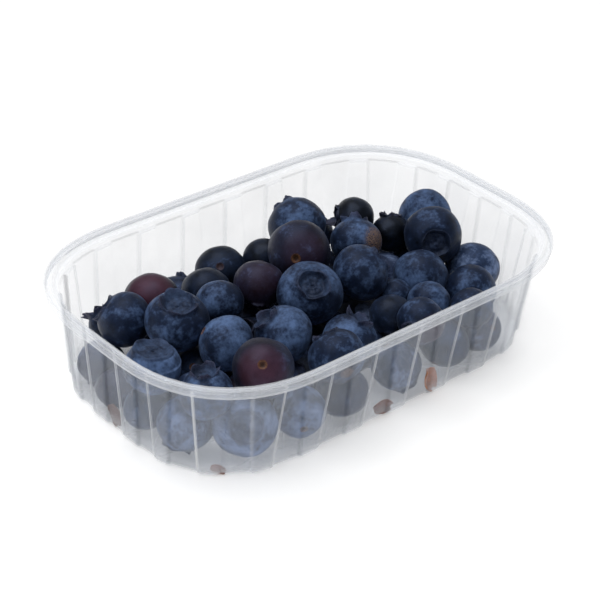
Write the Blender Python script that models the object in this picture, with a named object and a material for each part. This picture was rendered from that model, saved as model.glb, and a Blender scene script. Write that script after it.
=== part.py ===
"""Punnet of blueberries: a clear thermoformed tray and the heap of berries in it.

Two objects, in metres, +Z up, with the origin on the floor under the middle of the
tray. punnet is the tray: flange with a groove, turned-down lip, fluted walls and flat
base. berries is the whole heap as one solid, out to its uneven outline.
"""
import math
import random

import bmesh
import bpy
import numpy as np
from mathutils import Euler, Matrix

for old in list(bpy.data.objects):
    bpy.data.objects.remove(old, do_unlink=True)

MM = 0.001
CREASE = math.radians(40)  # edges sharper than this stay sharp

# ---- the tray, in millimetres -------------------------------------------------
LENGTH = 145.0            # over the flange, along X
WIDTH = 91.6              # over the flange, along Y
HEIGHT = 31.2             # from the floor to the top of the flange
CORNER_X = 39.0           # how far a corner's curve reaches along each side
CORNER_Y = 37.0
CORNER_POWER = 2.3        # 2 is an ellipse, more is squarer
SHEET = 0.4               # thickness of the plastic

FLANGE = 2.7              # flange, from its outer edge to its inner edge
LIP_DROP = 2.55           # how far the lip hangs below the flange
LIP_TUCK = 0.5            # how far its foot leans in
OUTER_CREST = 0.4         # the flange's two crests, from its outer edge
INNER_CREST = 2.15
GROOVE = 0.35             # depth of the groove between them
ROUND = 0.3               # drop of the flange's rounded edges
BAND = 1.5                # plain band between the flange and the ledge
WALL_INSET_TOP = 3.75     # outer face of the wall, from the flange's outer edge
WALL_INSET_BASE = 6.45
BASE_EDGE = 0.6           # bevel round the base
TRAY_COLOUR = (0.80, 0.81, 0.83)
TRAY_ROUGHNESS = 0.25
TRAY_ALPHA = 0.35

FLUTE_PITCH = 15.85       # spacing along the long sides and round the corners
FLUTES_AT_PITCH = 5       # in each quarter of the wall; two more close the end
FLUTE_DEPTH = 0.8
FLUTE_HALF_TOP = 2.75     # half width of a flute at its shoulder
FLUTE_HALF_BASE = 4.45    # and at the base, where it flares
END_FLUTE_RATIO = 0.72    # the ends' flutes are narrower
FLUTE_STEP = 0.7          # width of a flute's sloping side
SHOULDER_DROP = 2.9       # top of the flutes, below the top of the flange

# ---- the berries, in millimetres ----------------------------------------------
CLEAR = 0.5               # gap between a berry and the tray
PRESS = 0.96              # touching berries press into each other a little

# Berries seen from above and through the walls: x, y, z of the middle, diameter.
ALONG_THE_WALLS = (
    (-56, 18, 7, 13), (-61, 8, 6, 11), (-60, -5, 7, 13), (-58, -18, 8, 15), (-46, -30, 9, 17),
    (-27, -33, 7, 14), (-14, -33, 7, 14), (7, -33, 7, 14), (26, -33, 7, 14), (41, -33, 7, 13),
    (59, -13, 11, 16), (-45, 32, 9, 11),
)
LEFT_END = (
    (-47, 18, 18, 15), (-36, 24, 16, 16), (-41, 6, 21, 17), (-59, -6, 18, 15), (-55, -23, 18, 14),
    (-36, -7, 20, 15), (-40, -28, 23, 16),
)
MIDDLE = (
    (-23, 10, 19, 13), (-19, 20, 15, 14), (-5, 30, 12, 15), (-9, 9, 20, 14), (-21, -15, 20, 16),
    (-17, -33, 20, 15), (-5, -24, 17, 15), (-2, -4, 21, 18), (6, 24, 16, 12), (8, 12, 23, 18),
    (19, 25, 21, 17), (31, 32, 12, 14), (16, -6, 22, 16), (29, 10, 20, 15),
)
RIGHT_END = (
    (38, 20, 20, 13), (44, 10, 18, 12), (58, 10, 19, 16), (48, -2, 21, 17), (36, -10, 15, 16),
    (46, -23, 11, 15), (33, -34, 14, 12), (25, -12, 15, 10), (26, -24, 17, 12), (13, -33, 21, 13),
    (13, -22, 17, 12),
)
FILL_SIZES = (11.5, 14.0)   # hidden berries, smallest and largest
FILL_STEP = 1.5             # spacing of the spots tried for them
FILL_LEVELS = (0, 2, 4, 6)  # heights tried above the base
LOW_FIRST = 20              # how much more a low spot counts than one near -X
FILL_SEED = 5
BARE_SPOT = (61, -31)       # this corner of the base has no berries
BARE_RADIUS = 14
EASE_ROUNDS = 80            # rounds of pushing berries apart
EASE = 0.4                  # share of an overlap taken out in one round

# ---- the heap's solid, in millimetres -----------------------------------------
CORE_STATIONS = 36
CORE_ROWS = (             # height and inset from the flange's edge, going up
    (1.2, 13.0), (4.0, 10.5), (8.0, 11.0), (11.0, 13.0), (12.5, 20.0),
)
FLAT_SIDED = 1.03         # a flat-sided berry has its corners this much further out
TURN_SEED = 4
WELD = 0.01               # corners closer than this become one
BERRY_COLOUR = (0.045, 0.065, 0.13)
BERRY_ROUGHNESS = 0.5


def rim_curve(points_per_corner=90):
    """Points round the flange's edge, from the middle of the -Y side towards -X."""
    half_x = LENGTH / 2
    half_y = WIDTH / 2
    turn = np.linspace(0.0, math.pi / 2, points_per_corner)
    across = half_x - CORNER_X + CORNER_X * np.sin(turn) ** (2 / CORNER_POWER)
    along = half_y - CORNER_Y + CORNER_Y * np.cos(turn) ** (2 / CORNER_POWER)
    corner = np.column_stack((across, along))
    back = corner[::-1]
    front_middle = np.array(((0.0, -half_y),))
    parts = (front_middle, corner * (-1, -1), back * (-1, 1),
             -front_middle, corner, back * (1, -1), front_middle)
    return np.vstack(parts)


RIM = rim_curve()


def rim_directions():
    """Outward direction at every point of the flange's edge."""
    ahead = np.vstack((RIM[1:], RIM[1:2]))
    behind = np.vstack((RIM[-2:-1], RIM[:-1]))
    along = ahead - behind
    return np.column_stack((-along[:, 1], along[:, 0])) / np.hypot(*along.T)[:, None]


RIM_OUT = rim_directions()
WALL = RIM - RIM_OUT * WALL_INSET_TOP
WALL_ARC = np.concatenate(((0.0,), np.cumsum(np.hypot(*np.diff(WALL, axis=0).T))))
ALL_ROUND = WALL_ARC[-1]


def rim_point(arc, inset):
    """Points at arc lengths along the wall, at an inset from the flange's edge."""
    arc = np.asarray(arc) % ALL_ROUND
    x, y, out_x, out_y = (np.interp(arc, WALL_ARC, values)
                          for values in (*RIM.T, *RIM_OUT.T))
    return x - inset * out_x, y - inset * out_y


def wall_inset(height):
    """Inset of the wall's outer face at a height."""
    down = 1 - height / (HEIGHT - BAND)
    return WALL_INSET_TOP + (WALL_INSET_BASE - WALL_INSET_TOP) * down


def flute_centres():
    """Arc length and width ratio of every flute, in order round the tray."""
    quarter = [(k + 0.5) * FLUTE_PITCH for k in range(FLUTES_AT_PITCH)]
    end_middle = ALL_ROUND / 4
    last = quarter[-1]
    quarter.append((last + end_middle) / 2)
    narrow = [last < arc for arc in quarter]
    side = list(zip(quarter, narrow))
    side.append((end_middle, True))
    side += [(ALL_ROUND / 2 - arc, thin) for arc, thin in reversed(side[:-1])]
    whole = side + [(ALL_ROUND / 2 + arc, thin) for arc, thin in side]
    return [(arc, END_FLUTE_RATIO if thin else 1.0) for arc, thin in whole]


FLUTES = flute_centres()


def ring(height, inset, fluted=False):
    """One row of the tray's skin: four stations a flute and one on the land between."""
    shoulder = HEIGHT - SHOULDER_DROP
    down = min(max(1 - height / shoulder, 0.0), 1.0)
    flare = FLUTE_HALF_TOP + (FLUTE_HALF_BASE - FLUTE_HALF_TOP) * down
    arcs = []
    insets = []
    for index, (centre, ratio) in enumerate(FLUTES):
        following = FLUTES[(index + 1) % len(FLUTES)][0]
        gap = (following - centre) % ALL_ROUND
        half = flare * ratio
        arcs += [centre - half - FLUTE_STEP, centre - half, centre + half,
                 centre + half + FLUTE_STEP, centre + gap / 2]
        dent = FLUTE_DEPTH if fluted else 0.0
        insets += [inset, inset + dent, inset + dent, inset, inset]
    x, y = rim_point(np.array(arcs), np.array(insets))
    return [(px * MM, py * MM, height * MM) for px, py in zip(x, y)]


def skin(name, rings, caps):
    """A closed mesh through rings of equal length; caps closes its two ends."""
    mesh = bmesh.new()
    rows = [[mesh.verts.new(point) for point in row] for row in rings]
    count = len(rings[0])
    for lower, upper in zip(rows, rows[1:]):
        for k in range(count):
            following = (k + 1) % count
            mesh.faces.new((lower[k], lower[following], upper[following], upper[k]))
    for row in (rows[0], rows[-1]):
        caps(mesh, row)
    bmesh.ops.recalc_face_normals(mesh, faces=mesh.faces)
    data = bpy.data.meshes.new(name)
    mesh.to_mesh(data)
    mesh.free()
    obj = bpy.data.objects.new(name, data)
    bpy.context.scene.collection.objects.link(obj)
    return obj


def flat_cap(mesh, row):
    """One flat face over a ring."""
    mesh.faces.new(row)


def finish(obj, colour, roughness, alpha=1.0):
    """Material, and smooth shading up to a crease angle."""
    material = bpy.data.materials.new(obj.name)
    material.use_nodes = True
    shader = material.node_tree.nodes["Principled BSDF"]
    shader.inputs["Base Color"].default_value = (*colour, 1.0)
    shader.inputs["Roughness"].default_value = roughness
    shader.inputs["Metallic"].default_value = 0.0
    shader.inputs["Alpha"].default_value = alpha
    obj.data.materials.append(material)
    obj.data.shade_smooth()
    obj.data.set_sharp_from_angle(angle=CREASE)
    return obj


def make_punnet():
    """The tray, as one sheet: its upper skin from the floor out to the lip, then under."""
    top = HEIGHT
    ledge = top - BAND
    shoulder = top - SHOULDER_DROP
    above = [
        ring(SHEET, wall_inset(SHEET) + SHEET, fluted=True),
        ring(shoulder, wall_inset(shoulder) + SHEET, fluted=True),
        ring(ledge - ROUND, wall_inset(ledge) + SHEET),
        ring(ledge, FLANGE + 2 * ROUND),
        ring(top - ROUND, FLANGE),
        ring(top, INNER_CREST),
        ring(top - GROOVE, FLANGE / 2),
        ring(top, OUTER_CREST),
        ring(top - ROUND, 0.0),
        ring(top - LIP_DROP, LIP_TUCK),
    ]
    below = [
        ring(top - LIP_DROP, LIP_TUCK + SHEET),
        ring(top - 2 * ROUND - GROOVE, SHEET),
        ring(top - SHEET - GROOVE, INNER_CREST - SHEET),
        ring(ledge - SHEET, FLANGE + 2 * ROUND - SHEET),
        ring(ledge - ROUND - SHEET, wall_inset(ledge)),
        ring(shoulder - SHEET, wall_inset(shoulder), fluted=True),
        ring(BASE_EDGE, wall_inset(BASE_EDGE), fluted=True),
        ring(0.0, wall_inset(0.0) + BASE_EDGE, fluted=True),
    ]
    tray = skin("punnet", above + below, flat_cap)
    return finish(tray, TRAY_COLOUR, TRAY_ROUGHNESS, TRAY_ALPHA)


def nearest_rim(x, y):
    """Index of the flange's nearest edge point for each spot."""
    return np.hypot(x[:, None] - RIM[:, 0], y[:, None] - RIM[:, 1]).argmin(axis=1)


def room(x, y, height):
    """Distance from points to the tray's inner wall, its flutes included."""
    nearest = nearest_rim(x, y)
    to_rim = RIM[nearest] - np.column_stack((x, y))
    outward = (to_rim * RIM_OUT[nearest]).sum(axis=1)
    return outward - wall_inset(height) - SHEET - FLUTE_DEPTH


def free_height(x, y, radius, placed):
    """Lowest level at which a berry fits at each spot, or infinity."""
    lowest = np.full(len(x), np.inf)
    for level in FILL_LEVELS:
        height = SHEET + CLEAR + radius + level
        fits = room(x, y, height) > radius
        for other_x, other_y, other_z, other_radius in placed:
            apart = (x - other_x) ** 2 + (y - other_y) ** 2 + (height - other_z) ** 2
            fits &= apart > ((radius + other_radius) * PRESS ** 2) ** 2
        lowest = np.where(fits, np.minimum(lowest, height), lowest)
    return lowest


def fill_hidden(placed):
    """Add the hidden berries, packed from the -X end, lowest spots first."""
    random.seed(FILL_SEED)
    grid = np.meshgrid(np.arange(-LENGTH / 2, LENGTH / 2, FILL_STEP),
                       np.arange(-WIDTH / 2, WIDTH / 2, FILL_STEP))
    x, y = (axis.ravel() for axis in grid)
    inside = room(x, y, SHEET) > FILL_SIZES[0] / 2
    inside &= np.hypot(x - BARE_SPOT[0], y - BARE_SPOT[1]) > BARE_RADIUS
    x, y = x[inside], y[inside]
    while True:
        radius = random.uniform(*FILL_SIZES) / 2
        height = free_height(x, y, radius, placed)
        if not np.isfinite(height).any():
            return
        best = int(np.argmin(height * LOW_FIRST + x))
        placed.append((x[best], y[best], height[best], radius))


def ease_apart(placed):
    """Push berries off each other, off the walls and up from the base."""
    centre = np.array([berry[:3] for berry in placed], dtype=float)
    radius = np.array([berry[3] for berry in placed])
    reach_both = (radius[:, None] + radius[None, :]) * PRESS
    for _ in range(EASE_ROUNDS):
        between = centre[:, None, :] - centre[None, :, :]
        apart = np.sqrt((between ** 2).sum(axis=2)) + np.eye(len(radius)) * LENGTH
        push = np.maximum(reach_both - apart, 0.0) / apart
        centre += EASE * (between * push[:, :, None]).sum(axis=1)
        centre[:, 2] = np.maximum(centre[:, 2], SHEET + CLEAR + radius)
        short = radius + CLEAR - room(centre[:, 0], centre[:, 1], centre[:, 2])
        nearest = nearest_rim(centre[:, 0], centre[:, 1])
        centre[:, :2] -= RIM_OUT[nearest] * np.maximum(short, 0.0)[:, None]
    return [(*spot, size) for spot, size in zip(centre.tolist(), radius.tolist())]


def heap_layout():
    """Every berry as x, y, z, radius in millimetres."""
    seen = ALONG_THE_WALLS + LEFT_END + MIDDLE + RIGHT_END
    placed = [(x, y, z, diameter / 2) for x, y, z, diameter in seen]
    fill_hidden(placed)
    return ease_apart(placed)


def make_core():
    """The middle of the heap, a low mound inside the outermost berries."""
    arcs = (np.arange(CORE_STATIONS) + 0.5) * ALL_ROUND / CORE_STATIONS
    rings = []
    for height, inset in CORE_ROWS:
        spots = np.column_stack(rim_point(arcs, inset)) - BARE_SPOT
        away = np.hypot(*spots.T)
        spots *= np.maximum(BARE_RADIUS / away, 1.0)[:, None]
        spots += BARE_SPOT
        rings.append([(x * MM, y * MM, height * MM) for x, y in spots])
    return skin("berries", rings, flat_cap)


def make_rounds(berries):
    """All berries as low round shapes in one mesh, each turned its own way."""
    random.seed(TURN_SEED)
    mesh = bmesh.new()
    for x, y, z, radius in berries:
        turn = Euler([random.uniform(0.0, math.pi) for _ in range(3)]).to_matrix().to_4x4()
        place = Matrix.Translation((x * MM, y * MM, z * MM)) @ turn
        corner = radius * FLAT_SIDED * MM
        bmesh.ops.create_icosphere(mesh, subdivisions=2, radius=corner, matrix=place)
    data = bpy.data.meshes.new("rounds")
    mesh.to_mesh(data)
    mesh.free()
    obj = bpy.data.objects.new("rounds", data)
    bpy.context.scene.collection.objects.link(obj)
    return obj


def keep_outer_shell(mesh):
    """Delete the shells of pockets closed in between the berries."""
    left = set(mesh.faces)
    shells = []
    while left:
        front = [left.pop()]
        shell = []
        while front:
            face = front.pop()
            shell.append(face)
            beside = {other for edge in face.edges for other in edge.link_faces}
            front += beside & left
            left -= beside
        shells.append(shell)
    outer = max(shells, key=len)
    inner = [face for shell in shells if shell is not outer for face in shell]
    bmesh.ops.delete(mesh, geom=inner, context="FACES")


def make_heap(berries):
    """The whole heap as one solid: every berry joined to the core."""
    heap = make_core()
    rounds = make_rounds(berries)
    union = heap.modifiers.new("union", "BOOLEAN")
    union.operation = "UNION"
    union.solver = "EXACT"
    union.use_self = True
    union.object = rounds
    view = bpy.context.evaluated_depsgraph_get()
    mesh = bmesh.new()
    mesh.from_object(heap, view)
    heap.modifiers.clear()
    bpy.data.objects.remove(rounds, do_unlink=True)
    bmesh.ops.remove_doubles(mesh, verts=mesh.verts, dist=WELD * MM)
    bmesh.ops.dissolve_degenerate(mesh, edges=mesh.edges, dist=WELD * MM)
    keep_outer_shell(mesh)
    bmesh.ops.triangulate(mesh, faces=mesh.faces)
    mesh.to_mesh(heap.data)
    mesh.free()
    return finish(heap, BERRY_COLOUR, BERRY_ROUGHNESS)


make_punnet()
make_heap(heap_layout())
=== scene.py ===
"""Looks of the punnet of blueberries: a clear tray, its loose berries and a plain studio."""
import math
import random

import bmesh
import bpy
import numpy as np
from mathutils import Euler, Matrix, Vector, noise


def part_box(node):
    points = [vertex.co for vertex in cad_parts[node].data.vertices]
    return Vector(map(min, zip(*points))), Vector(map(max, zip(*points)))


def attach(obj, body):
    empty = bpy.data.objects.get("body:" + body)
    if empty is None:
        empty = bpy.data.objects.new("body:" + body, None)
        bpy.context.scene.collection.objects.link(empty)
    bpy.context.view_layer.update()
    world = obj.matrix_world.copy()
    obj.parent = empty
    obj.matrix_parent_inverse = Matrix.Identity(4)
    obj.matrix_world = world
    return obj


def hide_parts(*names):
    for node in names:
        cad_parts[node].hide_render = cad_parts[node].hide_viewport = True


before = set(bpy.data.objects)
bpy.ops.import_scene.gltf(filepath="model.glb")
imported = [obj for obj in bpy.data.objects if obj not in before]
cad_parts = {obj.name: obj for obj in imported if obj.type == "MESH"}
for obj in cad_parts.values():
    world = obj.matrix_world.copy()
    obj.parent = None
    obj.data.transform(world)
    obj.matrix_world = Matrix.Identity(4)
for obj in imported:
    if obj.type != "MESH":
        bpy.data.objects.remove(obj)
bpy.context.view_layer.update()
MM = 0.001

# ------------------------------------------------------------------ the tray
# A shallow oblong tray of clear polypropylene, drawn hot from one thin sheet. Flutes
# stiffen its walls, and a grooved flange with a turned-down lip takes the sealing
# film. It is modelled as the sheet's inner skin and then given its thickness.
tray_low, tray_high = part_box("punnet")
LENGTH, WIDTH, HEIGHT = (tray_high - tray_low) / MM
SHEET = 0.4
CORNER_X, CORNER_Y, CORNER_POWER = 39.0, 37.0, 2.3
FLANGE = 2.7
OUTER_CREST, INNER_CREST, GROOVE = 0.4, 2.15, 0.35
LIP_DROP, LIP_TUCK = 2.55, 0.5
BAND = 1.5
LEDGE_ROUND = 0.35
SHOULDER_DROP, SHOULDER_ROUND = 2.9, 0.9
WALL_INSET_TOP, WALL_INSET_BASE = 3.75, 6.45
BASE_ROUND = 1.0
FLUTE_PITCH, FLUTES_AT_PITCH, FLUTE_DEPTH = 15.85, 5, 0.8
FLUTE_HALF_TOP, FLUTE_HALF_BASE, END_FLUTE_RATIO, FLUTE_STEP = 2.75, 4.45, 0.72, 0.7
FLUTE_STATIONS = (-0.5, 0.0, 0.2, 0.4, 0.6, 0.8, 1.0, 1.5)   # across a flute's sloping side


def rim_curve(points_per_corner=120):
    """Points round the flange's edge, from the middle of the -Y side towards -X."""
    turn = np.linspace(0.0, math.pi / 2, points_per_corner)
    across = LENGTH / 2 - CORNER_X + CORNER_X * np.sin(turn) ** (2 / CORNER_POWER)
    along = WIDTH / 2 - CORNER_Y + CORNER_Y * np.cos(turn) ** (2 / CORNER_POWER)
    corner = np.column_stack((across, along))
    back = corner[::-1]
    middle = np.array(((0.0, -WIDTH / 2),))
    return np.vstack((middle, corner * (-1, -1), back * (-1, 1),
                      -middle, corner, back * (1, -1), middle))


RIM = rim_curve()
rim_along = np.vstack((RIM[1:], RIM[1:2])) - np.vstack((RIM[-2:-1], RIM[:-1]))
RIM_OUT = np.column_stack((-rim_along[:, 1], rim_along[:, 0]))
RIM_OUT /= np.hypot(*rim_along.T)[:, None]
WALL = RIM - RIM_OUT * WALL_INSET_TOP
WALL_ARC = np.concatenate(((0.0,), np.cumsum(np.hypot(*np.diff(WALL, axis=0).T))))
ALL_ROUND = WALL_ARC[-1]


def rim_point(arc, inset):
    """Points at arc lengths along the wall, at an inset from the flange's edge."""
    arc = np.asarray(arc) % ALL_ROUND
    x, y, out_x, out_y = (np.interp(arc, WALL_ARC, values)
                          for values in (*RIM.T, *RIM_OUT.T))
    return x - inset * out_x, y - inset * out_y


def wall_inset(height):
    """Inset of the wall's outer face at a height."""
    down = 1 - height / (HEIGHT - BAND)
    return WALL_INSET_TOP + (WALL_INSET_BASE - WALL_INSET_TOP) * down


def flute_centres():
    """Arc length and width ratio of every flute, in order round the tray."""
    quarter = [(k + 0.5) * FLUTE_PITCH for k in range(FLUTES_AT_PITCH)]
    end_middle = ALL_ROUND / 4
    last = quarter[-1]
    side = [(arc, 1.0) for arc in quarter]
    side.append(((last + end_middle) / 2, END_FLUTE_RATIO))
    side.append((end_middle, END_FLUTE_RATIO))
    side += [(ALL_ROUND / 2 - arc, ratio) for arc, ratio in reversed(side[:-1])]
    return side + [(ALL_ROUND / 2 + arc, ratio) for arc, ratio in side]


FLUTES = flute_centres()
# Painted light on the flutes: the side of each flute towards the near corner gets a painted highlight
# and the other side gets painted shade. On the far walls both are weaker, and painted shade darkens
# the whole wall.
BRIGHT_FROM = ALL_ROUND / 8   # a flute's edge on this corner's side is the bright one
FAR_SIDE_SHARE, FAR_SIDE_SHADE = 0.2, 0.4
FACING, SIDEWAYS, FACING_SHINE = 6.0, 9.0, 0.1   # a flute that faces out shows no bright edge
BRIGHT_EDGE, BRIGHT_EDGE_MIDDLE, BRIGHT_EDGE_REACH = 2.2, 0.5, 0.85
DARK_EDGE_MIDDLE, DARK_EDGE_REACH = 0.7, 1.2


def tray_row(height, inset, dent, shine):
    """One row of the skin: its points, and its painted highlight and painted shade at each point."""
    down = min(max(1 - height / (HEIGHT - SHOULDER_DROP), 0.0), 1.0)
    flare = FLUTE_HALF_TOP + (FLUTE_HALF_BASE - FLUTE_HALF_TOP) * down
    arcs, depths, bright, dark = [], [], [], []
    for index, (centre, ratio) in enumerate(FLUTES):
        half = flare * ratio
        gap = (FLUTES[(index + 1) % len(FLUTES)][0] - centre) % ALL_ROUND
        past = (centre - BRIGHT_FROM + ALL_ROUND / 2) % ALL_ROUND - ALL_ROUND / 2
        plain = min(max((abs(past) - FACING) / (SIDEWAYS - FACING), FACING_SHINE), 1.0)
        near = abs(past) < ALL_ROUND / 4
        share = plain if near else FAR_SIDE_SHARE
        far_shade = 0.0 if near else FAR_SIDE_SHADE
        slope = [(-1, step) for step in FLUTE_STATIONS]
        slope += [(1, step) for step in reversed(FLUTE_STATIONS)]
        for side, step in slope:
            inward = min(max(step, 0.0), 1.0)
            arcs.append(centre + side * (half + FLUTE_STEP * (1 - step)))
            depths.append(inward * inward * (3 - 2 * inward))
            on_dark = side * past > 0
            thin = max(1 - abs(step - BRIGHT_EDGE_MIDDLE) / BRIGHT_EDGE_REACH, 0) * (not on_dark)
            soft = max(1 - abs(step - DARK_EDGE_MIDDLE) / DARK_EDGE_REACH, 0) * on_dark
            bright.append(BRIGHT_EDGE * share * thin)
            dark.append(max(share * soft, far_shade))
        arcs.append(centre + gap / 2)
        depths.append(0.0)
        bright.append(0.0)
        dark.append(far_shade)
    x, y = rim_point(arcs, inset + dent * FLUTE_DEPTH * np.array(depths))
    points = np.column_stack((x, y, np.full(len(x), height))) * MM
    return points, np.maximum(shine, dent * np.array(bright)), dent * np.array(dark)


def tray_profile():
    """Height, inset, share of the flutes' depth and painted highlight (shine) of each row, from the
    base out.
    """
    top = HEIGHT
    ledge = top - BAND
    rows = []
    for step in range(5):
        angle = math.pi / 2 * step / 4
        height = SHEET + BASE_ROUND * (1 - math.cos(angle))
        inset = wall_inset(BASE_ROUND) + SHEET + BASE_ROUND * (1 - math.sin(angle))
        rows.append((height, inset, 1.0, max(0.6, 0.75 * math.sin(2 * angle) ** 2)))
    shoulder = top - SHOULDER_DROP
    for step in range(1, 8):
        height = SHEET + BASE_ROUND + (shoulder - SHOULDER_ROUND - SHEET - BASE_ROUND) * step / 7
        rows.append((height, wall_inset(height) + SHEET, 1.0, 0.0))
    for step in range(1, 6):
        left = 1 - step / 5
        height = shoulder - SHOULDER_ROUND * left
        share = left * left * (3 - 2 * left)
        rows.append((height, wall_inset(height) + SHEET, share, 2.4 * left * (1 - left)))
    ledge_inset = wall_inset(ledge) + SHEET
    band_inset = FLANGE + LEDGE_ROUND
    for step in range(5):
        angle = math.pi / 2 * step / 4
        rows.append((ledge - LEDGE_ROUND * (1 - math.sin(angle)),
                     ledge_inset - (ledge_inset - band_inset) * (1 - math.cos(angle)) * 0.7,
                     0.0, 0.55 * math.sin(angle) ** 2))
    rows.append((ledge + 0.06, band_inset + 0.12, 0.0, 0.45))
    rows.append((ledge + 0.35, band_inset - 0.05, 0.0, 0.2))
    rows.append((top - 0.45, FLANGE + 0.08, 0.0, 0.2))
    rows.append((top - 0.15, FLANGE - 0.08, 0.0, 0.45))
    spread = INNER_CREST - OUTER_CREST
    for step in range(9):
        across = step / 8
        height = top - GROOVE * math.sin(math.pi * across) ** 2
        shine = 0.5 + 0.4 * abs(math.cos(math.pi * across)) ** 6
        rows.append((height, INNER_CREST - spread * across, 0.0, shine))
    for step in range(1, 5):
        angle = math.pi / 2 * step / 4
        rows.append((top - OUTER_CREST * (1 - math.cos(angle)),
                     OUTER_CREST * (1 - math.sin(angle)), 0.0, 0.9 - 0.4 * math.sin(angle)))
    for step in range(1, 5):
        down = step / 4
        rows.append((top - OUTER_CREST - (LIP_DROP - OUTER_CREST) * down,
                     LIP_TUCK * down ** 1.5, 0.0, 0.5 + 0.4 * (down == 1)))
    return rows


def deselect():
    """Nothing selected and object mode on, before a new primitive."""
    if bpy.context.object and bpy.context.object.mode == "EDIT":
        bpy.ops.object.mode_set(mode="OBJECT")
    bpy.ops.object.select_all(action="DESELECT")


def apply_modifiers(piece):
    """Apply every modifier of a piece in turn."""
    bpy.context.view_layer.objects.active = piece
    for modifier in list(piece.modifiers):
        bpy.ops.object.modifier_apply(modifier=modifier.name)


def add_value(mesh, name, values):
    """A number at every point of a mesh, for its material to read."""
    mesh.attributes.new(name, "FLOAT", "POINT").data.foreach_set("value", values)


profile = [tray_row(*row) for row in tray_profile()]
stations = len(profile[0][0])
deselect()
bpy.ops.mesh.primitive_grid_add(x_subdivisions=stations, y_subdivisions=len(profile) - 1)
tray = bpy.context.object
tray.name = tray.data.name = "tray"
points = np.array([np.vstack((row, row[:1])) for row, _, _ in profile])
shine = np.array([np.append(values, values[0]) for _, values, _ in profile])
shade = np.array([np.append(values, values[0]) for _, _, values in profile])
tray.data.vertices.foreach_set("co", points.ravel())
add_value(tray.data, "shine", shine.ravel())
add_value(tray.data, "shade", shade.ravel())
bpy.ops.object.mode_set(mode="EDIT")
bpy.ops.mesh.select_all(action="SELECT")
bpy.ops.mesh.remove_doubles(threshold=0.00001)
sheet = bmesh.from_edit_mesh(tray.data)
for face in sheet.faces:
    face.select_set(False)
for side in sheet.edges:
    side.select_set(side.is_boundary and side.verts[0].co.z < 2 * SHEET * MM)
bmesh.update_edit_mesh(tray.data)
bpy.ops.mesh.edge_face_add()
bpy.ops.mesh.select_all(action="SELECT")
bpy.ops.mesh.normals_make_consistent(inside=False)
bpy.ops.object.mode_set(mode="OBJECT")
base = max(tray.data.polygons, key=lambda face: face.area)
if base.normal.z < 0:
    tray.data.flip_normals()
thickness = tray.modifiers.new("sheet", "SOLIDIFY")
thickness.thickness = SHEET * MM
thickness.offset = -1.0
apply_modifiers(tray)
bpy.ops.object.shade_smooth_by_angle(angle=math.radians(50))


def linear(code):
    """An sRGB hex colour as linear red, green, blue and alpha."""
    parts = [int(code[k:k + 2], 16) / 255 for k in (1, 3, 5)]
    curve = [c / 12.92 if c <= 0.04045 else ((c + 0.055) / 1.055) ** 2.4 for c in parts]
    return (*curve, 1.0)


def add_node(tree, kind, settings=None, links=None):
    """A node with its settings, input values and links. Links are input name to socket."""
    node = tree.nodes.new(kind)
    for name, value in (settings or {}).items():
        if isinstance(name, int) or name in node.inputs:
            node.inputs[name].default_value = value
        else:
            setattr(node, name, value)
    for name, socket in (links or {}).items():
        tree.links.new(socket, node.inputs[name])
    return node


def new_material(name):
    """An empty node material with its Principled shader."""
    material = bpy.data.materials.new(name)
    material.use_nodes = True
    return material, material.node_tree, material.node_tree.nodes["Principled BSDF"]


# Polypropylene sheet, thermoformed: clear with a cloudy white haze, glossy, with faint draw lines down
# the walls. It is paler and less clear where it bends sharply or is seen edge on, partly because the
# sheet is seen thicker there and partly as painted highlight. Painted shade darkens one side of each
# flute and the far walls.
POLYPROPYLENE_IOR = 1.49
DRAW_LINE_MM, HAZE_PATCH_MM = 0.9, 14.0
material, tree, shader = new_material("thermoformed_polypropylene")
place = add_node(tree, "ShaderNodeTexCoord").outputs["Object"]
upright = add_node(tree, "ShaderNodeMapping", {"Scale": (1, 1, 0.08)}, {"Vector": place})
lines = add_node(tree, "ShaderNodeTexNoise", {"Scale": 1 / (DRAW_LINE_MM * MM), "Detail": 2},
                 {"Vector": upright.outputs["Vector"]})
patches = add_node(tree, "ShaderNodeTexNoise", {"Scale": 1 / (HAZE_PATCH_MM * MM), "Detail": 3},
                   {"Vector": place})
# Painted highlight: the shine attribute makes the sheet paler and less clear at the flange's crests,
# the lip, the base's rounded edge, the ledge and one side of each flute.
painted_highlight = add_node(tree, "ShaderNodeAttribute", {"attribute_name": "shine"})
haze = add_node(tree, "ShaderNodeMapRange", {"From Min": 0.3, "From Max": 0.7,
                                             "To Min": 0.125, "To Max": 0.165},
                {"Value": patches.outputs["Fac"]})
haze_and_highlight_alpha = add_node(tree, "ShaderNodeMath", {"operation": "MULTIPLY_ADD", 1: 0.24},
                  {0: painted_highlight.outputs["Fac"], 2: haze.outputs["Result"]})
gloss = add_node(tree, "ShaderNodeMapRange", {"From Min": 0.3, "From Max": 0.7,
                                              "To Min": 0.12, "To Max": 0.26},
                 {"Value": patches.outputs["Fac"]})
relief = add_node(tree, "ShaderNodeBump", {"Strength": 0.02, "Distance": 0.05 * MM},
                  {"Height": lines.outputs["Fac"]})
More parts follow.
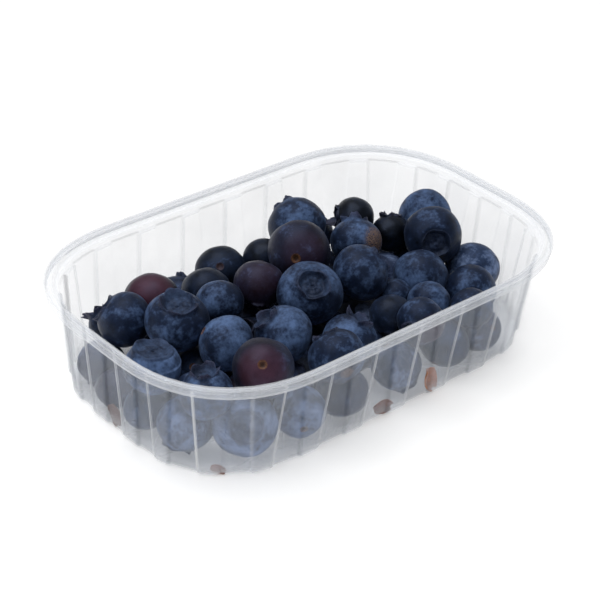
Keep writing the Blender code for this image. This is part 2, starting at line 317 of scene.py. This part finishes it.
# Painted shade: the shade attribute darkens the other side of each flute and the far walls.
painted_shade = add_node(tree, "ShaderNodeAttribute", {"attribute_name": "shade"})
haze_and_highlight_colour = add_node(tree, "ShaderNodeMix", {"data_type": "RGBA", 6: linear("#DFE6F2"),
                                         7: linear("#FAFBFC")}, {0: painted_highlight.outputs["Fac"]})
painted_shade_colour = add_node(tree, "ShaderNodeMix", {"data_type": "RGBA", 7: linear("#AEB4BD")},
                    {0: painted_shade.outputs["Fac"], 6: haze_and_highlight_colour.outputs[2]})
shader.inputs["IOR"].default_value = POLYPROPYLENE_IOR
tree.links.new(painted_shade_colour.outputs[2], shader.inputs["Base Color"])
tree.links.new(haze_and_highlight_alpha.outputs["Value"], shader.inputs["Alpha"])
tree.links.new(gloss.outputs["Result"], shader.inputs["Roughness"])
tree.links.new(relief.outputs["Normal"], shader.inputs["Normal"])
tray.data.materials.clear()
tray.data.materials.append(material)
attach(tray, "root")
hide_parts("punnet")


# ------------------------------------------------------------------ the berries
# Loose blueberries, picked ripe and poured in, so that they lie in two or three uneven
# layers. Each has a five-lobed crown round a shallow dish at one end and a small stem
# scar at the other, and a waxy bloom that is rubbed off in places.
CLEAR = 0.5
PRESS = 0.96
# x, y, z of the middle and diameter; bloom, red and lobes from 0 to 9; then which way
# the crown points: degrees round from +X, and degrees above the floor.
ALONG_THE_WALLS = (
    (-56, 18, 7, 13, 3, 1, 3, -134, -50), (-61, 8, 6, 11, 2, 2, 3, -134, -50),
    (-60, -5, 7, 13, 4, 0, 3, 100, 50), (-58, -18, 8, 15, 5, 0, 3, 173, -70),
    (-46, -30, 9, 17, 7, 0, 2, -127, 30), (-27, -33, 7, 14, 6, 0, 4, 60, 10),
    (-14, -33, 7, 14, 3, 1, 3, 150, 70), (7, -33, 7, 14, 5, 0, 4, -60, -60),
    (26, -33, 7, 14, 3, 0, 4, 20, 40), (41, -33, 7, 13, 3, 1, 3, 90, -30),
    (59, -13, 11, 16, 5, 0, 3, -134, -50), (-45, 32, 9, 11, 1, 0, 9, 125, 42),
)
LEFT_END = (
    (-47, 18, 18, 15, 4, 0, 4, 127, 26), (-36, 24, 16, 16, 2, 0, 3, -134, -50),
    (-41, 6, 21, 17, 5, 0, 4, -116, 77), (-59, -6, 18, 15, 6, 0, 1, 46, 86),
    (-55, -23, 18, 14, 6, 0, 5, 92, 76), (-36, -7, 20, 15, 6, 0, 3, -44, -30),
    (-40, -28, 23, 16, 3, 1, 3, 46, -42),
)
MIDDLE = (
    (-23, 10, 19, 13, 5, 0, 3, -134, -50), (-19, 20, 15, 14, 2, 0, 3, -134, -50),
    (-5, 30, 12, 15, 2, 0, 3, 45, -44), (-9, 9, 20, 14, 3, 2, 3, -134, -50),
    (-21, -15, 20, 16, 6, 0, 7, 136, 45), (-17, -33, 20, 15, 4.8, 0, 4, 89, 42),
    (-5, -24, 17, 15, 6, 0, 6, -10, 63), (-2, -4, 21, 18, 5.2, 0, 2, -124, 50),
    (6, 24, 16, 12, 2, 0, 3, -134, -50), (8, 12, 23, 18, 3, 1, 3, 41, -18),
    (19, 25, 22, 17, 5, 0, 6, 79, 20), (31, 32, 12, 14, 4, 0, 3, -134, -50),
    (16, -6, 22, 16, 5, 0, 3, -22, 35), (29, 10, 20, 15, 5, 0, 6, 52, 46),
)
RIGHT_END = (
    (38, 20, 20, 13, 1, 0, 11, 139, 8), (44, 10, 18, 12, 1, 0, 6, 53, 58),
    (58, 10, 19, 16, 6.5, 0, 3, 38, 0), (48, -2, 21, 17, 3.7, 0, 0, -128, 11),
    (36, -10, 15, 16, 6, 0, 3, -134, -50), (46, -23, 11, 15, 5, 0, 3, -134, -50),
    (33, -34, 14, 12, 4, 0, 3, -134, -50), (25, -12, 15, 10, 5, 0, 3, -134, -50),
    (26, -24, 17, 12, 5, 0, 4, -134, -50), (13, -33, 21, 13, 4, 0, 5, -158, -7),
    (13, -22, 17, 12, 3, 0, 3, -134, -50),
)
FILL_SIZES, FILL_STEP, FILL_LEVELS, FILL_SEED = (11.5, 14.0), 1.5, (0, 2, 4, 6), 5
LOW_FIRST, BARE_SPOT, BARE_RADIUS = 20, (61, -31), 14
EASE_ROUNDS, EASE = 80, 0.4


def nearest_rim(x, y):
    """Index of the flange's nearest edge point for each spot."""
    return np.hypot(x[:, None] - RIM[:, 0], y[:, None] - RIM[:, 1]).argmin(axis=1)


def room(x, y, height):
    """Distance from points to the tray's inner wall, its flutes included."""
    nearest = nearest_rim(x, y)
    to_rim = RIM[nearest] - np.column_stack((x, y))
    outward = (to_rim * RIM_OUT[nearest]).sum(axis=1)
    return outward - wall_inset(height) - SHEET - FLUTE_DEPTH


def free_height(x, y, radius, placed):
    """Lowest level at which a berry fits at each spot, or infinity."""
    lowest = np.full(len(x), np.inf)
    for level in FILL_LEVELS:
        height = SHEET + CLEAR + radius + level
        fits = room(x, y, height) > radius
        for other_x, other_y, other_z, other_radius in placed:
            apart = (x - other_x) ** 2 + (y - other_y) ** 2 + (height - other_z) ** 2
            fits &= apart > ((radius + other_radius) * PRESS ** 2) ** 2
        lowest = np.where(fits, np.minimum(lowest, height), lowest)
    return lowest


def fill_hidden(placed):
    """Add the hidden berries, packed from the -X end, lowest spots first."""
    random.seed(FILL_SEED)
    grid = np.meshgrid(np.arange(-LENGTH / 2, LENGTH / 2, FILL_STEP),
                       np.arange(-WIDTH / 2, WIDTH / 2, FILL_STEP))
    x, y = (axis.ravel() for axis in grid)
    inside = room(x, y, SHEET) > FILL_SIZES[0] / 2
    inside &= np.hypot(x - BARE_SPOT[0], y - BARE_SPOT[1]) > BARE_RADIUS
    x, y = x[inside], y[inside]
    while True:
        radius = random.uniform(*FILL_SIZES) / 2
        height = free_height(x, y, radius, placed)
        if not np.isfinite(height).any():
            return
        best = int(np.argmin(height * LOW_FIRST + x))
        placed.append((x[best], y[best], height[best], radius))


def ease_apart(placed):
    """Push berries off each other, off the walls and up from the base."""
    centre = np.array([berry[:3] for berry in placed], dtype=float)
    radius = np.array([berry[3] for berry in placed])
    reach_both = (radius[:, None] + radius[None, :]) * PRESS
    for _ in range(EASE_ROUNDS):
        between = centre[:, None, :] - centre[None, :, :]
        apart = np.sqrt((between ** 2).sum(axis=2)) + np.eye(len(radius)) * LENGTH
        push = np.maximum(reach_both - apart, 0.0) / apart
        centre += EASE * (between * push[:, :, None]).sum(axis=1)
        centre[:, 2] = np.maximum(centre[:, 2], SHEET + CLEAR + radius)
        short = radius + CLEAR - room(centre[:, 0], centre[:, 1], centre[:, 2])
        nearest = nearest_rim(centre[:, 0], centre[:, 1])
        centre[:, :2] -= RIM_OUT[nearest] * np.maximum(short, 0.0)[:, None]
    return centre, radius


seen = ALONG_THE_WALLS + LEFT_END + MIDDLE + RIGHT_END
placed = [(x, y, z, diameter / 2) for x, y, z, diameter, *_ in seen]
fill_hidden(placed)
centres, radii = ease_apart(placed)

# One berry's outline from the middle of its crown to its stem scar, in radii: distance
# from its axis, height, and how much of the crown's lobes it carries.
CROWN_RIM, DISH = 0.86, 0.14
CROWN = (
    (0.025, CROWN_RIM - DISH - 0.035, 0), (0.05, CROWN_RIM - DISH - 0.02, 0),
    (0.08, CROWN_RIM - DISH + 0.012, 0), (0.12, CROWN_RIM - DISH, 0),
    (0.17, CROWN_RIM - DISH - 0.004, 0), (0.21, CROWN_RIM - DISH + 0.016, 0),
    (0.25, CROWN_RIM - DISH + 0.02, 0), (0.29, CROWN_RIM - DISH + 0.002, 0),
    (0.34, CROWN_RIM - DISH + 0.004, 0), (0.385, CROWN_RIM - 0.055, 0.1),
    (0.415, CROWN_RIM - 0.015, 0.45), (0.435, CROWN_RIM + 0.012, 0.8),
    (0.45, CROWN_RIM + 0.034, 1.0), (0.475, CROWN_RIM + 0.034, 1.0),
    (0.49, CROWN_RIM + 0.008, 0.7), (0.505, CROWN_RIM - 0.008, 0.35),
)
SCAR = ((0.17, -0.984, 0), (0.14, -0.995, 0), (0.115, -0.975, 0), (0.09, -0.945, 0),
        (0.045, -0.935, 0))
SIDE_RINGS = 21
SIDE_FROM, SIDE_TO = math.radians(32.5), math.radians(168)
side = [(math.sin(a), math.cos(a), 0) for a in np.linspace(SIDE_FROM, SIDE_TO, SIDE_RINGS)]
PROFILE = np.array([(0, CROWN_RIM - DISH - 0.04, 0), *CROWN, *side, *SCAR, (0, -0.93, 0)])
ROUND_SEGMENTS = 50

deselect()
bpy.ops.mesh.primitive_uv_sphere_add(segments=ROUND_SEGMENTS, ring_count=len(PROFILE) - 1,
                                     radius=1.0)
blank = bpy.context.object
bpy.ops.object.shade_smooth()
sphere = np.array([v.co for v in blank.data.vertices])
RING = np.rint(np.arccos(np.clip(sphere[:, 2], -1, 1)) / math.pi
               * (len(PROFILE) - 1)).astype(int)
AROUND = np.arctan2(sphere[:, 1], sphere[:, 0])
ACROSS, UP, ON_LOBE = PROFILE[RING].T
ON_CROWN = np.clip((0.54 - ACROSS) / 0.05, 0, 1) * (UP > 0)
ON_SCAR = np.clip((0.17 - ACROSS) / 0.04, 0, 1) * (UP < 0)
IN_SCAR = np.clip((0.12 - ACROSS) / 0.06, 0, 1) * (UP < 0)
LOBES = 5


def crown_lobes(size, shape_seed):
    """How far the crown rises and leans out at each point of a berry."""
    dice = random.Random(shape_seed)
    start = dice.uniform(0, math.tau)
    place = ((AROUND + start) % math.tau) / math.tau * LOBES
    number = np.minimum(place.astype(int), LOBES - 1)
    across = place - number - 0.5
    tall = np.array([dice.uniform(0.55, 1.25) if dice.random() < 0.8 else 0.25
                     for _ in range(LOBES)])[number]
    lean = np.array([dice.uniform(-0.5, 1.1) for _ in range(LOBES)])[number]
    skew = np.array([dice.uniform(-0.5, 0.5) for _ in range(LOBES)])[number]
    tongue = np.clip(1 - (2 * np.abs(across + 0.3 * skew * across)) ** 2.2, 0, 1)
    ragged = np.array([noise.noise(Vector((math.cos(a) * 5, math.sin(a) * 5, start)))
                       for a in AROUND])
    rise = ON_LOBE * size * tall * tongue * (1 + 0.5 * ragged)
    return rise, lean * rise


def shape_berry(middle, radius, axis, lumps, lobe_size, crown_width, cloven, dents, shape_seed):
    """Points of one berry, in metres, and which of its lobe tips they are on."""
    rise, lean = crown_lobes(lobe_size, shape_seed)
    dice = random.Random(shape_seed + 1)
    rim_tilt = 0.05 * np.cos(AROUND + dice.uniform(0, math.tau)) * ON_CROWN
    folds = 0.014 * np.cos(LOBES * AROUND + dice.uniform(0, 6)) * ON_CROWN * (ACROSS > 0.1)
    upper = np.clip(UP * 2, 0, 1)
    clover = cloven * np.abs(np.cos(LOBES / 2 * AROUND)) * ON_CROWN * (ACROSS > 0.3)
    wide = ACROSS * (1 + (crown_width - 1) * upper * np.clip((1.0 - ACROSS) / 0.5, 0, 1))
    sunk = np.sqrt(np.clip(1 - wide ** 2, 0, 1)) - np.sqrt(np.clip(1 - ACROSS ** 2, 0, 1))
    wide = wide * (1 - cloven / 2 * ON_CROWN + clover) + lean
    points = np.column_stack((wide * np.cos(AROUND), wide * np.sin(AROUND),
                              UP + rise + rim_tilt + folds + sunk * upper))
    shift = Vector([dice.uniform(-50, 50) for _ in range(3)])
    swell = np.array([1 + lumps * noise.noise(Vector(p) * 1.1 + shift)
                      + 0.3 * lumps * noise.noise(Vector(p) * 3.0 + shift) for p in points])
    if dents:
        grooves = np.cos(3 * AROUND + 1.0) * np.sqrt(np.clip(1 - UP ** 2, 0, 1))
        swell += dents * grooves
    points *= swell[:, None] * OBLATE
    spin = Euler((0, 0, dice.uniform(0, math.tau))).to_quaternion()
    turn = Vector((0, 0, 1)).rotation_difference(axis) @ spin
    points = points @ np.array(turn.to_matrix()).T
    tips = np.clip(rise / 0.16, 0, 1)
    return (points * radius + middle) * MM, points, tips


def direction(azimuth, rise):
    """Unit vector from degrees round from +X and degrees above the floor."""
    azimuth, rise = math.radians(azimuth), math.radians(rise)
    return Vector((math.cos(azimuth) * math.cos(rise), math.sin(azimuth) * math.cos(rise),
                   math.sin(rise)))


# A few berries are marked: place in the list, kind of mark, its direction, width and strength.
MARKS = {
    13: ("red", direction(-140, 62), 58, 1.0), 18: ("red", direction(-134, 32), 62, 0.8),
    22: ("red", direction(-110, 50), 60, 0.35), 24: ("cork", direction(-110, -5), 16, 1.0),
    28: ("red", direction(-120, 30), 55, 0.35), 32: ("cork", direction(-75, 24), 36, 1.0),
    42: ("red", direction(-100, -5), 55, 0.6),
}
WIDE_CROWNS = {15: 1.42, 14: 1.1, 4: 1.05}
CLOVEN = {34: 0.3, 29: 0.02}
DENTS = {17: 0.022}
DULL_SCARS = {21: 0.3, 14: 0.3}
OBLATE = (1.03, 1.02, 0.95)
LUMPS, LOBE_SIZE = 0.05, 0.034
groups = {"berries_bloomed": [], "berries_dusky": [], "berries_lower": []}
random.seed(11)
for index, (middle, radius) in enumerate(zip(centres, radii)):
    if index < len(seen):
        bloom, red, lobes, azimuth, rise = seen[index][4:]
        axis = direction(azimuth, rise)
        group = "bloomed" if bloom > 3 else "dusky"
        if index < len(ALONG_THE_WALLS):
            group = "lower"
    else:
        bloom, red, lobes = random.uniform(1, 5), random.uniform(0, 1), random.uniform(2, 5)
        axis = direction(random.uniform(0, 360), random.uniform(-60, 60))
        group = "lower"
    points, outward, tips = shape_berry(
        middle, radius, axis, LUMPS, LOBE_SIZE * lobes, WIDE_CROWNS.get(index, 1.0),
        CLOVEN.get(index, 0.08), DENTS.get(index, 0.0), index * 7)
    berry = blank.copy()
    berry.data = blank.data.copy()
    bpy.context.scene.collection.objects.link(berry)
    berry.data.vertices.foreach_set("co", points.ravel())
    marks = {"red": np.full(len(points), red / 9), "cork": np.zeros(len(points))}
    if index in MARKS:
        kind, facing, width, strength = MARKS[index]
        near = outward @ np.array(facing) / np.linalg.norm(outward, axis=1)
        edge = math.cos(math.radians(width))
        inside = np.clip((near - edge) / (1 - edge), 0, 1)
        spot = strength * inside * (2 - inside)
        marks[kind] = np.maximum(marks[kind], spot)
    for name, values in (("bloom", np.full(len(points), bloom / 9)), ("crown", ON_CROWN),
                         ("tip", tips), ("scar", ON_SCAR * DULL_SCARS.get(index, 1.0)),
                         ("pit", IN_SCAR * DULL_SCARS.get(index, 1.0)),
                         *marks.items()):
        add_value(berry.data, name, values)
    groups["berries_" + group].append(berry)
bpy.data.objects.remove(blank, do_unlink=True)


# Blueberry skin: a thin blue-black peel under a matt wax bloom, which scatters pale blue.
# Where the wax is rubbed off, the peel is satin. The crown's edges dry to a brownish
# pink and the stem scar to cork.
SWATHE_MM, PATCH_MM, MOTTLE_MM, SPECK_MM = 8.0, 3.0, 0.9, 0.4
SKIN_IOR = 1.42


def berry_skin(name, bare, middling, waxy):
    """Skin of one group of berries."""
    material, tree, shader = new_material(name)
    place = add_node(tree, "ShaderNodeTexCoord").outputs["Object"]

    def pattern(size_mm, detail, low, high):
        spots = add_node(tree, "ShaderNodeTexNoise",
                         {"Scale": 1 / (size_mm * MM), "Detail": detail, "Roughness": 0.6},
                         {"Vector": place})
        spread = add_node(tree, "ShaderNodeMapRange",
                          {"From Min": 0.3, "From Max": 0.7, "To Min": low, "To Max": high},
                          {"Value": spots.outputs["Fac"]})
        return spread.outputs["Result"]

    def painted(name):
        return add_node(tree, "ShaderNodeAttribute", {"attribute_name": name}).outputs["Fac"]

    def maths(operation, first, second, clamp=False):
        links, settings = {}, {"operation": operation, "use_clamp": clamp}
        for slot, value in ((0, first), (1, second)):
            if isinstance(value, (int, float)):
                settings[slot] = value
            else:
                links[slot] = value
        return add_node(tree, "ShaderNodeMath", settings, links).outputs["Value"]

    def mixed(share, under, over):
        """Colour over laid on colour under; each is a hex or a socket."""
        settings, links = {"data_type": "RGBA"}, {0: share}
        for slot, value in ((6, under), (7, over)):
            if isinstance(value, str):
                settings[slot] = linear(value)
            else:
                links[slot] = value
        return add_node(tree, "ShaderNodeMix", settings, links).outputs[2]

    swathes = pattern(SWATHE_MM, 2, -0.24, 0.24)
    patches = pattern(PATCH_MM, 3, -0.16, 0.16)
    mottle = pattern(MOTTLE_MM, 4, -0.13, 0.13)
    specks = pattern(SPECK_MM, 2, 0.0, 1.0)
    rubbed = maths("ADD", swathes, patches)
    waxed = maths("ADD", maths("ADD", painted("bloom"), rubbed), mottle, clamp=True)
    thin_wax = maths("MULTIPLY", waxed, 2.0, clamp=True)
    thick_wax = maths("MULTIPLY_ADD", waxed, 2.0, clamp=True)
    thick_wax.node.inputs[2].default_value = -1.0
    colour = mixed(thick_wax, mixed(thin_wax, bare, middling), waxy)
    ripening = maths("MULTIPLY", painted("red"), maths("ADD", patches, 0.9), clamp=True)
    colour = mixed(ripening, colour, "#4A2C38")
    dish = maths("MULTIPLY", painted("crown"), 0.5)
    colour = mixed(dish, colour, mixed(specks, "#090B11", "#2A3347"))
    edge = maths("MULTIPLY", painted("tip"), maths("ADD", patches, 0.45), clamp=True)
    colour = mixed(edge, colour, mixed(specks, "#161420", "#4A4258"))
    colour = mixed(maths("MULTIPLY", painted("scar"), 0.75), colour,
                   mixed(specks, "#4A2F18", "#8A5F34"))
    colour = mixed(painted("pit"), colour, "#33200F")
    dried = maths("MULTIPLY", painted("cork"), maths("ADD", specks, 0.5), clamp=True)
    colour = mixed(dried, colour, mixed(specks, "#24100F", "#8A7468"))
    satin = add_node(tree, "ShaderNodeMapRange", {"To Min": 0.3, "To Max": 0.62},
                     {"Value": waxed})
    relief = add_node(tree, "ShaderNodeBump", {"Strength": 0.3, "Distance": 0.1 * MM},
                      {"Height": maths("ADD", mottle, specks)})
    shader.inputs["IOR"].default_value = SKIN_IOR
    shader.inputs["Specular IOR Level"].default_value = 0.38
    shader.inputs["Specular Tint"].default_value = linear("#B4C6EE")
    shader.inputs["Sheen Weight"].default_value = 0.07
    shader.inputs["Sheen Roughness"].default_value = 0.4
    shader.inputs["Sheen Tint"].default_value = linear("#A9BBDD")
    tree.links.new(colour, shader.inputs["Base Color"])
    tree.links.new(satin.outputs["Result"], shader.inputs["Roughness"])
    tree.links.new(relief.outputs["Normal"], shader.inputs["Normal"])
    return material


# The lower group (berries along the walls and hidden ones) and the hidden mound take a lighter copy of
# the skin. This is painted light, standing in for the light that reaches them through the tray's wall.
skins = {
    "berries_bloomed": berry_skin("bloomed_blueberry_skin", "#06080C", "#18233A", "#587099"),
    "berries_dusky": berry_skin("dusky_blueberry_skin", "#06080C", "#182236", "#566C96"),
    "berries_lower": berry_skin("lower_blueberry_skin_painted_lighter", "#0C0F16", "#2C3B58", "#8398C0"),
}
for name, members in groups.items():
    deselect()
    for member in members:
        member.select_set(True)
    bpy.context.view_layer.objects.active = members[0]
    bpy.ops.object.join()
    heap = bpy.context.object
    heap.name = heap.data.name = name
    heap.data.materials.clear()
    heap.data.materials.append(skins[name])
    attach(heap, "root")
    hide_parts("berries")


# ------------------------------------------------------------------ the hidden middle
# The berries in the middle of the heap can't be seen, so a dark lumpy mound stands
# there. It keeps light from passing through the gaps between the outer berries.
CORE_MIDDLE, CORE_HALF = (-3.0, 0.0, 6.3), (52.0, 25.0, 5.0)
CORE_LUMP_MM, CORE_LUMPS = 7.0, 1.2
deselect()
bpy.ops.mesh.primitive_uv_sphere_add(segments=96, ring_count=32, radius=1.0)
core = bpy.context.object
core.name = core.data.name = "heap_core"
spots = np.array([v.co for v in core.data.vertices])
spots = np.sign(spots) * np.abs(spots) ** 0.75 * CORE_HALF
spots += [CORE_LUMPS * noise.noise_vector(Vector(p) / CORE_LUMP_MM) for p in spots]
spots += CORE_MIDDLE
core.data.vertices.foreach_set("co", (spots * MM).ravel())
for name in ("bloom", "red", "cork", "crown", "tip", "scar", "pit"):
    add_value(core.data, name, np.zeros(len(spots)))
bpy.ops.object.shade_smooth()
core.data.materials.append(skins["berries_lower"])
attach(core, "root")
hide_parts("berries")


# ------------------------------------------------------------------ the dried bits
# A few scraps of dried flower and leaf have sifted down between the berries. They are
# paper thin, curled, and lie on the base against the wall.
BITS = (   # x, y, z of the middle, length, width, lean, turn, colour
    (13.5, -37.6, 4.6, 8.6, 5.2, 68, 8, "#E8955E"), (-4.2, -37.4, 2.7, 6.2, 4.6, 15, -5, "#9A5A3C"),
    (-55.6, -30.6, 1.3, 4.0, 2.8, 20, -45, "#B5806E"), (-63.8, 1.5, 3.6, 6.0, 5.0, 60, -88, "#6E4A38"),
)


def dried_scrap(name, dark, light):
    """Dried leaf: brown, matt, with veins that show darker."""
    material, tree, shader = new_material(name)
    place = add_node(tree, "ShaderNodeTexCoord").outputs["Object"]
    veins = add_node(tree, "ShaderNodeTexNoise", {"Scale": 1 / (0.8 * MM), "Detail": 4},
                     {"Vector": place})
    shade = add_node(tree, "ShaderNodeMix", {"data_type": "RGBA", 6: linear(dark),
                                             7: linear(light)}, {0: veins.outputs["Fac"]})
    relief = add_node(tree, "ShaderNodeBump", {"Strength": 0.5, "Distance": 0.15 * MM},
                      {"Height": veins.outputs["Fac"]})
    shader.inputs["Roughness"].default_value = 0.75
    tree.links.new(shade.outputs[2], shader.inputs["Base Color"])
    tree.links.new(relief.outputs["Normal"], shader.inputs["Normal"])
    return material


for number, (x, y, z, length, width, lean, turn, colour) in enumerate(BITS, 1):
    deselect()
    bpy.ops.mesh.primitive_grid_add(x_subdivisions=14, y_subdivisions=10, size=1.0)
    scrap = bpy.context.object
    scrap.name = scrap.data.name = f"dried_scrap_{number}"
    for vert in scrap.data.vertices:
        across, along = vert.co.y * 2, vert.co.x * 2
        narrow = math.sqrt(max(1 - 0.85 * along ** 2, 0.02))
        curl = 0.35 * across ** 2 + 0.2 * along ** 2
        wrinkle = 0.12 * noise.noise(Vector((along * 2, across * 2, number)))
        vert.co = Vector((along * length / 2, across * narrow * width / 2,
                          (curl + wrinkle) * width / 2)) * MM
    lie = Matrix.Translation(Vector((x, y, z)) * MM) @ Euler(
        (math.pi / 2, math.radians(lean), math.radians(turn)), "XYZ").to_matrix().to_4x4()
    scrap.data.transform(lie)
    thin = scrap.modifiers.new("paper", "SOLIDIFY")
    thin.thickness = 0.2 * MM
    thin.offset = 0.0
    apply_modifiers(scrap)
    bpy.ops.object.shade_smooth()
    scrap.data.materials.append(dried_scrap(f"dried_leaf_{number}", "#6B4128", colour))
    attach(scrap, "root")
    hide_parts("berries")


# ------------------------------------------------------------------ the studio
# A pale matt table, a wide soft light overhead and a weaker one from the left.
deselect()
bpy.ops.mesh.primitive_plane_add(size=4.0, location=(0, 0, -0.2 * MM))
floor = bpy.context.object
floor.name = "floor"
material, tree, shader = new_material("pale_table")
shader.inputs["Base Color"].default_value = linear("#F4F4F4")
shader.inputs["Roughness"].default_value = 0.9
shader.inputs["Emission Color"].default_value = linear("#FFFFFF")
shader.inputs["Emission Strength"].default_value = 0.28
floor.data.materials.append(material)


def soft_light(name, place, size, power):
    """A square area light that faces the middle of the tray."""
    lamp = bpy.data.lights.new(name, "AREA")
    lamp.size = size
    lamp.energy = power
    light = bpy.data.objects.new(name, lamp)
    light.location = place
    light.rotation_euler = (-Vector(place)).to_track_quat("-Z", "Y").to_euler()
    bpy.context.scene.collection.objects.link(light)


soft_light("overhead", (-0.1, 0.2, 0.9), 0.9, 6.0)
soft_light("left", (-0.9, -0.1, 0.45), 0.5, 0.4)
soft_light("spark", (-0.62, 0.1, 0.85), 0.15, 0.9)
world = bpy.data.worlds.new("studio")
bpy.context.scene.world = world
world.use_nodes = True
world.node_tree.nodes["Background"].inputs["Color"].default_value = linear("#FFFFFF")
world.node_tree.nodes["Background"].inputs["Strength"].default_value = 0.34

# The camera looks down on the near corner from the left front.
AZIMUTH, ELEVATION, ROLL = math.radians(-43.6), math.radians(32.2), math.radians(3.73)
DISTANCE, AIM_HEIGHT = 0.5008, 0.016
back = Vector((math.sin(AZIMUTH) * math.cos(ELEVATION),
               -math.cos(AZIMUTH) * math.cos(ELEVATION), math.sin(ELEVATION)))
right = Vector((math.cos(AZIMUTH), math.sin(AZIMUTH), 0))
up = back.cross(right)
level_right = right * math.cos(ROLL) + up * math.sin(ROLL)
level_up = up * math.cos(ROLL) - right * math.sin(ROLL)
bpy.context.scene.view_settings.view_transform = "Standard"
camera = bpy.data.objects.new("camera", bpy.data.cameras.new("camera"))
camera.data.lens = 106.6
camera.data.shift_x = -0.0065
camera.data.shift_y = -0.0003
camera.data.clip_start = 0.01
camera.matrix_world = Matrix.Translation(Vector((0, 0, AIM_HEIGHT)) + back * DISTANCE) @ Matrix(
    (level_right, level_up, back)).transposed().to_4x4()
bpy.context.scene.collection.objects.link(camera)
bpy.context.scene.camera = camera

bpy.context.view_layer.update()
